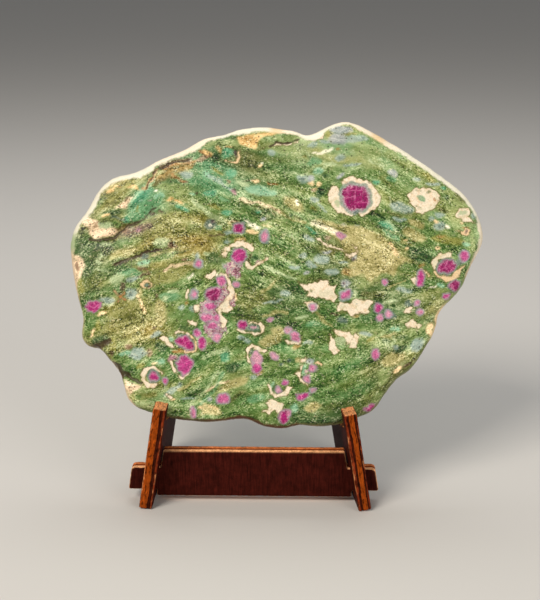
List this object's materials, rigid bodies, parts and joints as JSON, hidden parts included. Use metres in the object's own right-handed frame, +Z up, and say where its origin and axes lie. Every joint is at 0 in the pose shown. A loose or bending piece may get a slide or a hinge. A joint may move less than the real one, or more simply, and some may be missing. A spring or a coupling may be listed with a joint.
{
  "type": "ruby in zoisite slab on a plywood easel",
  "caption": "Polished freeform slab of ruby in zoisite leaning back on a small plywood easel with two splayed legs and a crossbar.",
  "frame": {"origin": "on the surface it stands on, below the middle of the whole object's box", "axes": "+Z up, +X to the right seen from the front, the slab's polished face looks towards -Y and a little up"},
  "size_m": [0.1612, 0.0628, 0.142],
  "materials": {
    "polished_stone": "polished green zoisite with cream haloes and magenta ruby spots",
    "stained_plywood": "red-brown stained and lacquered birch plywood, cut edges lighter"
  },
  "bodies": {
    "root": {"zoisite_slab": "polished_stone", "left_leg": "stained_plywood", "right_leg": "stained_plywood", "crossbar": "stained_plywood"}
  },
  "joints": []
}
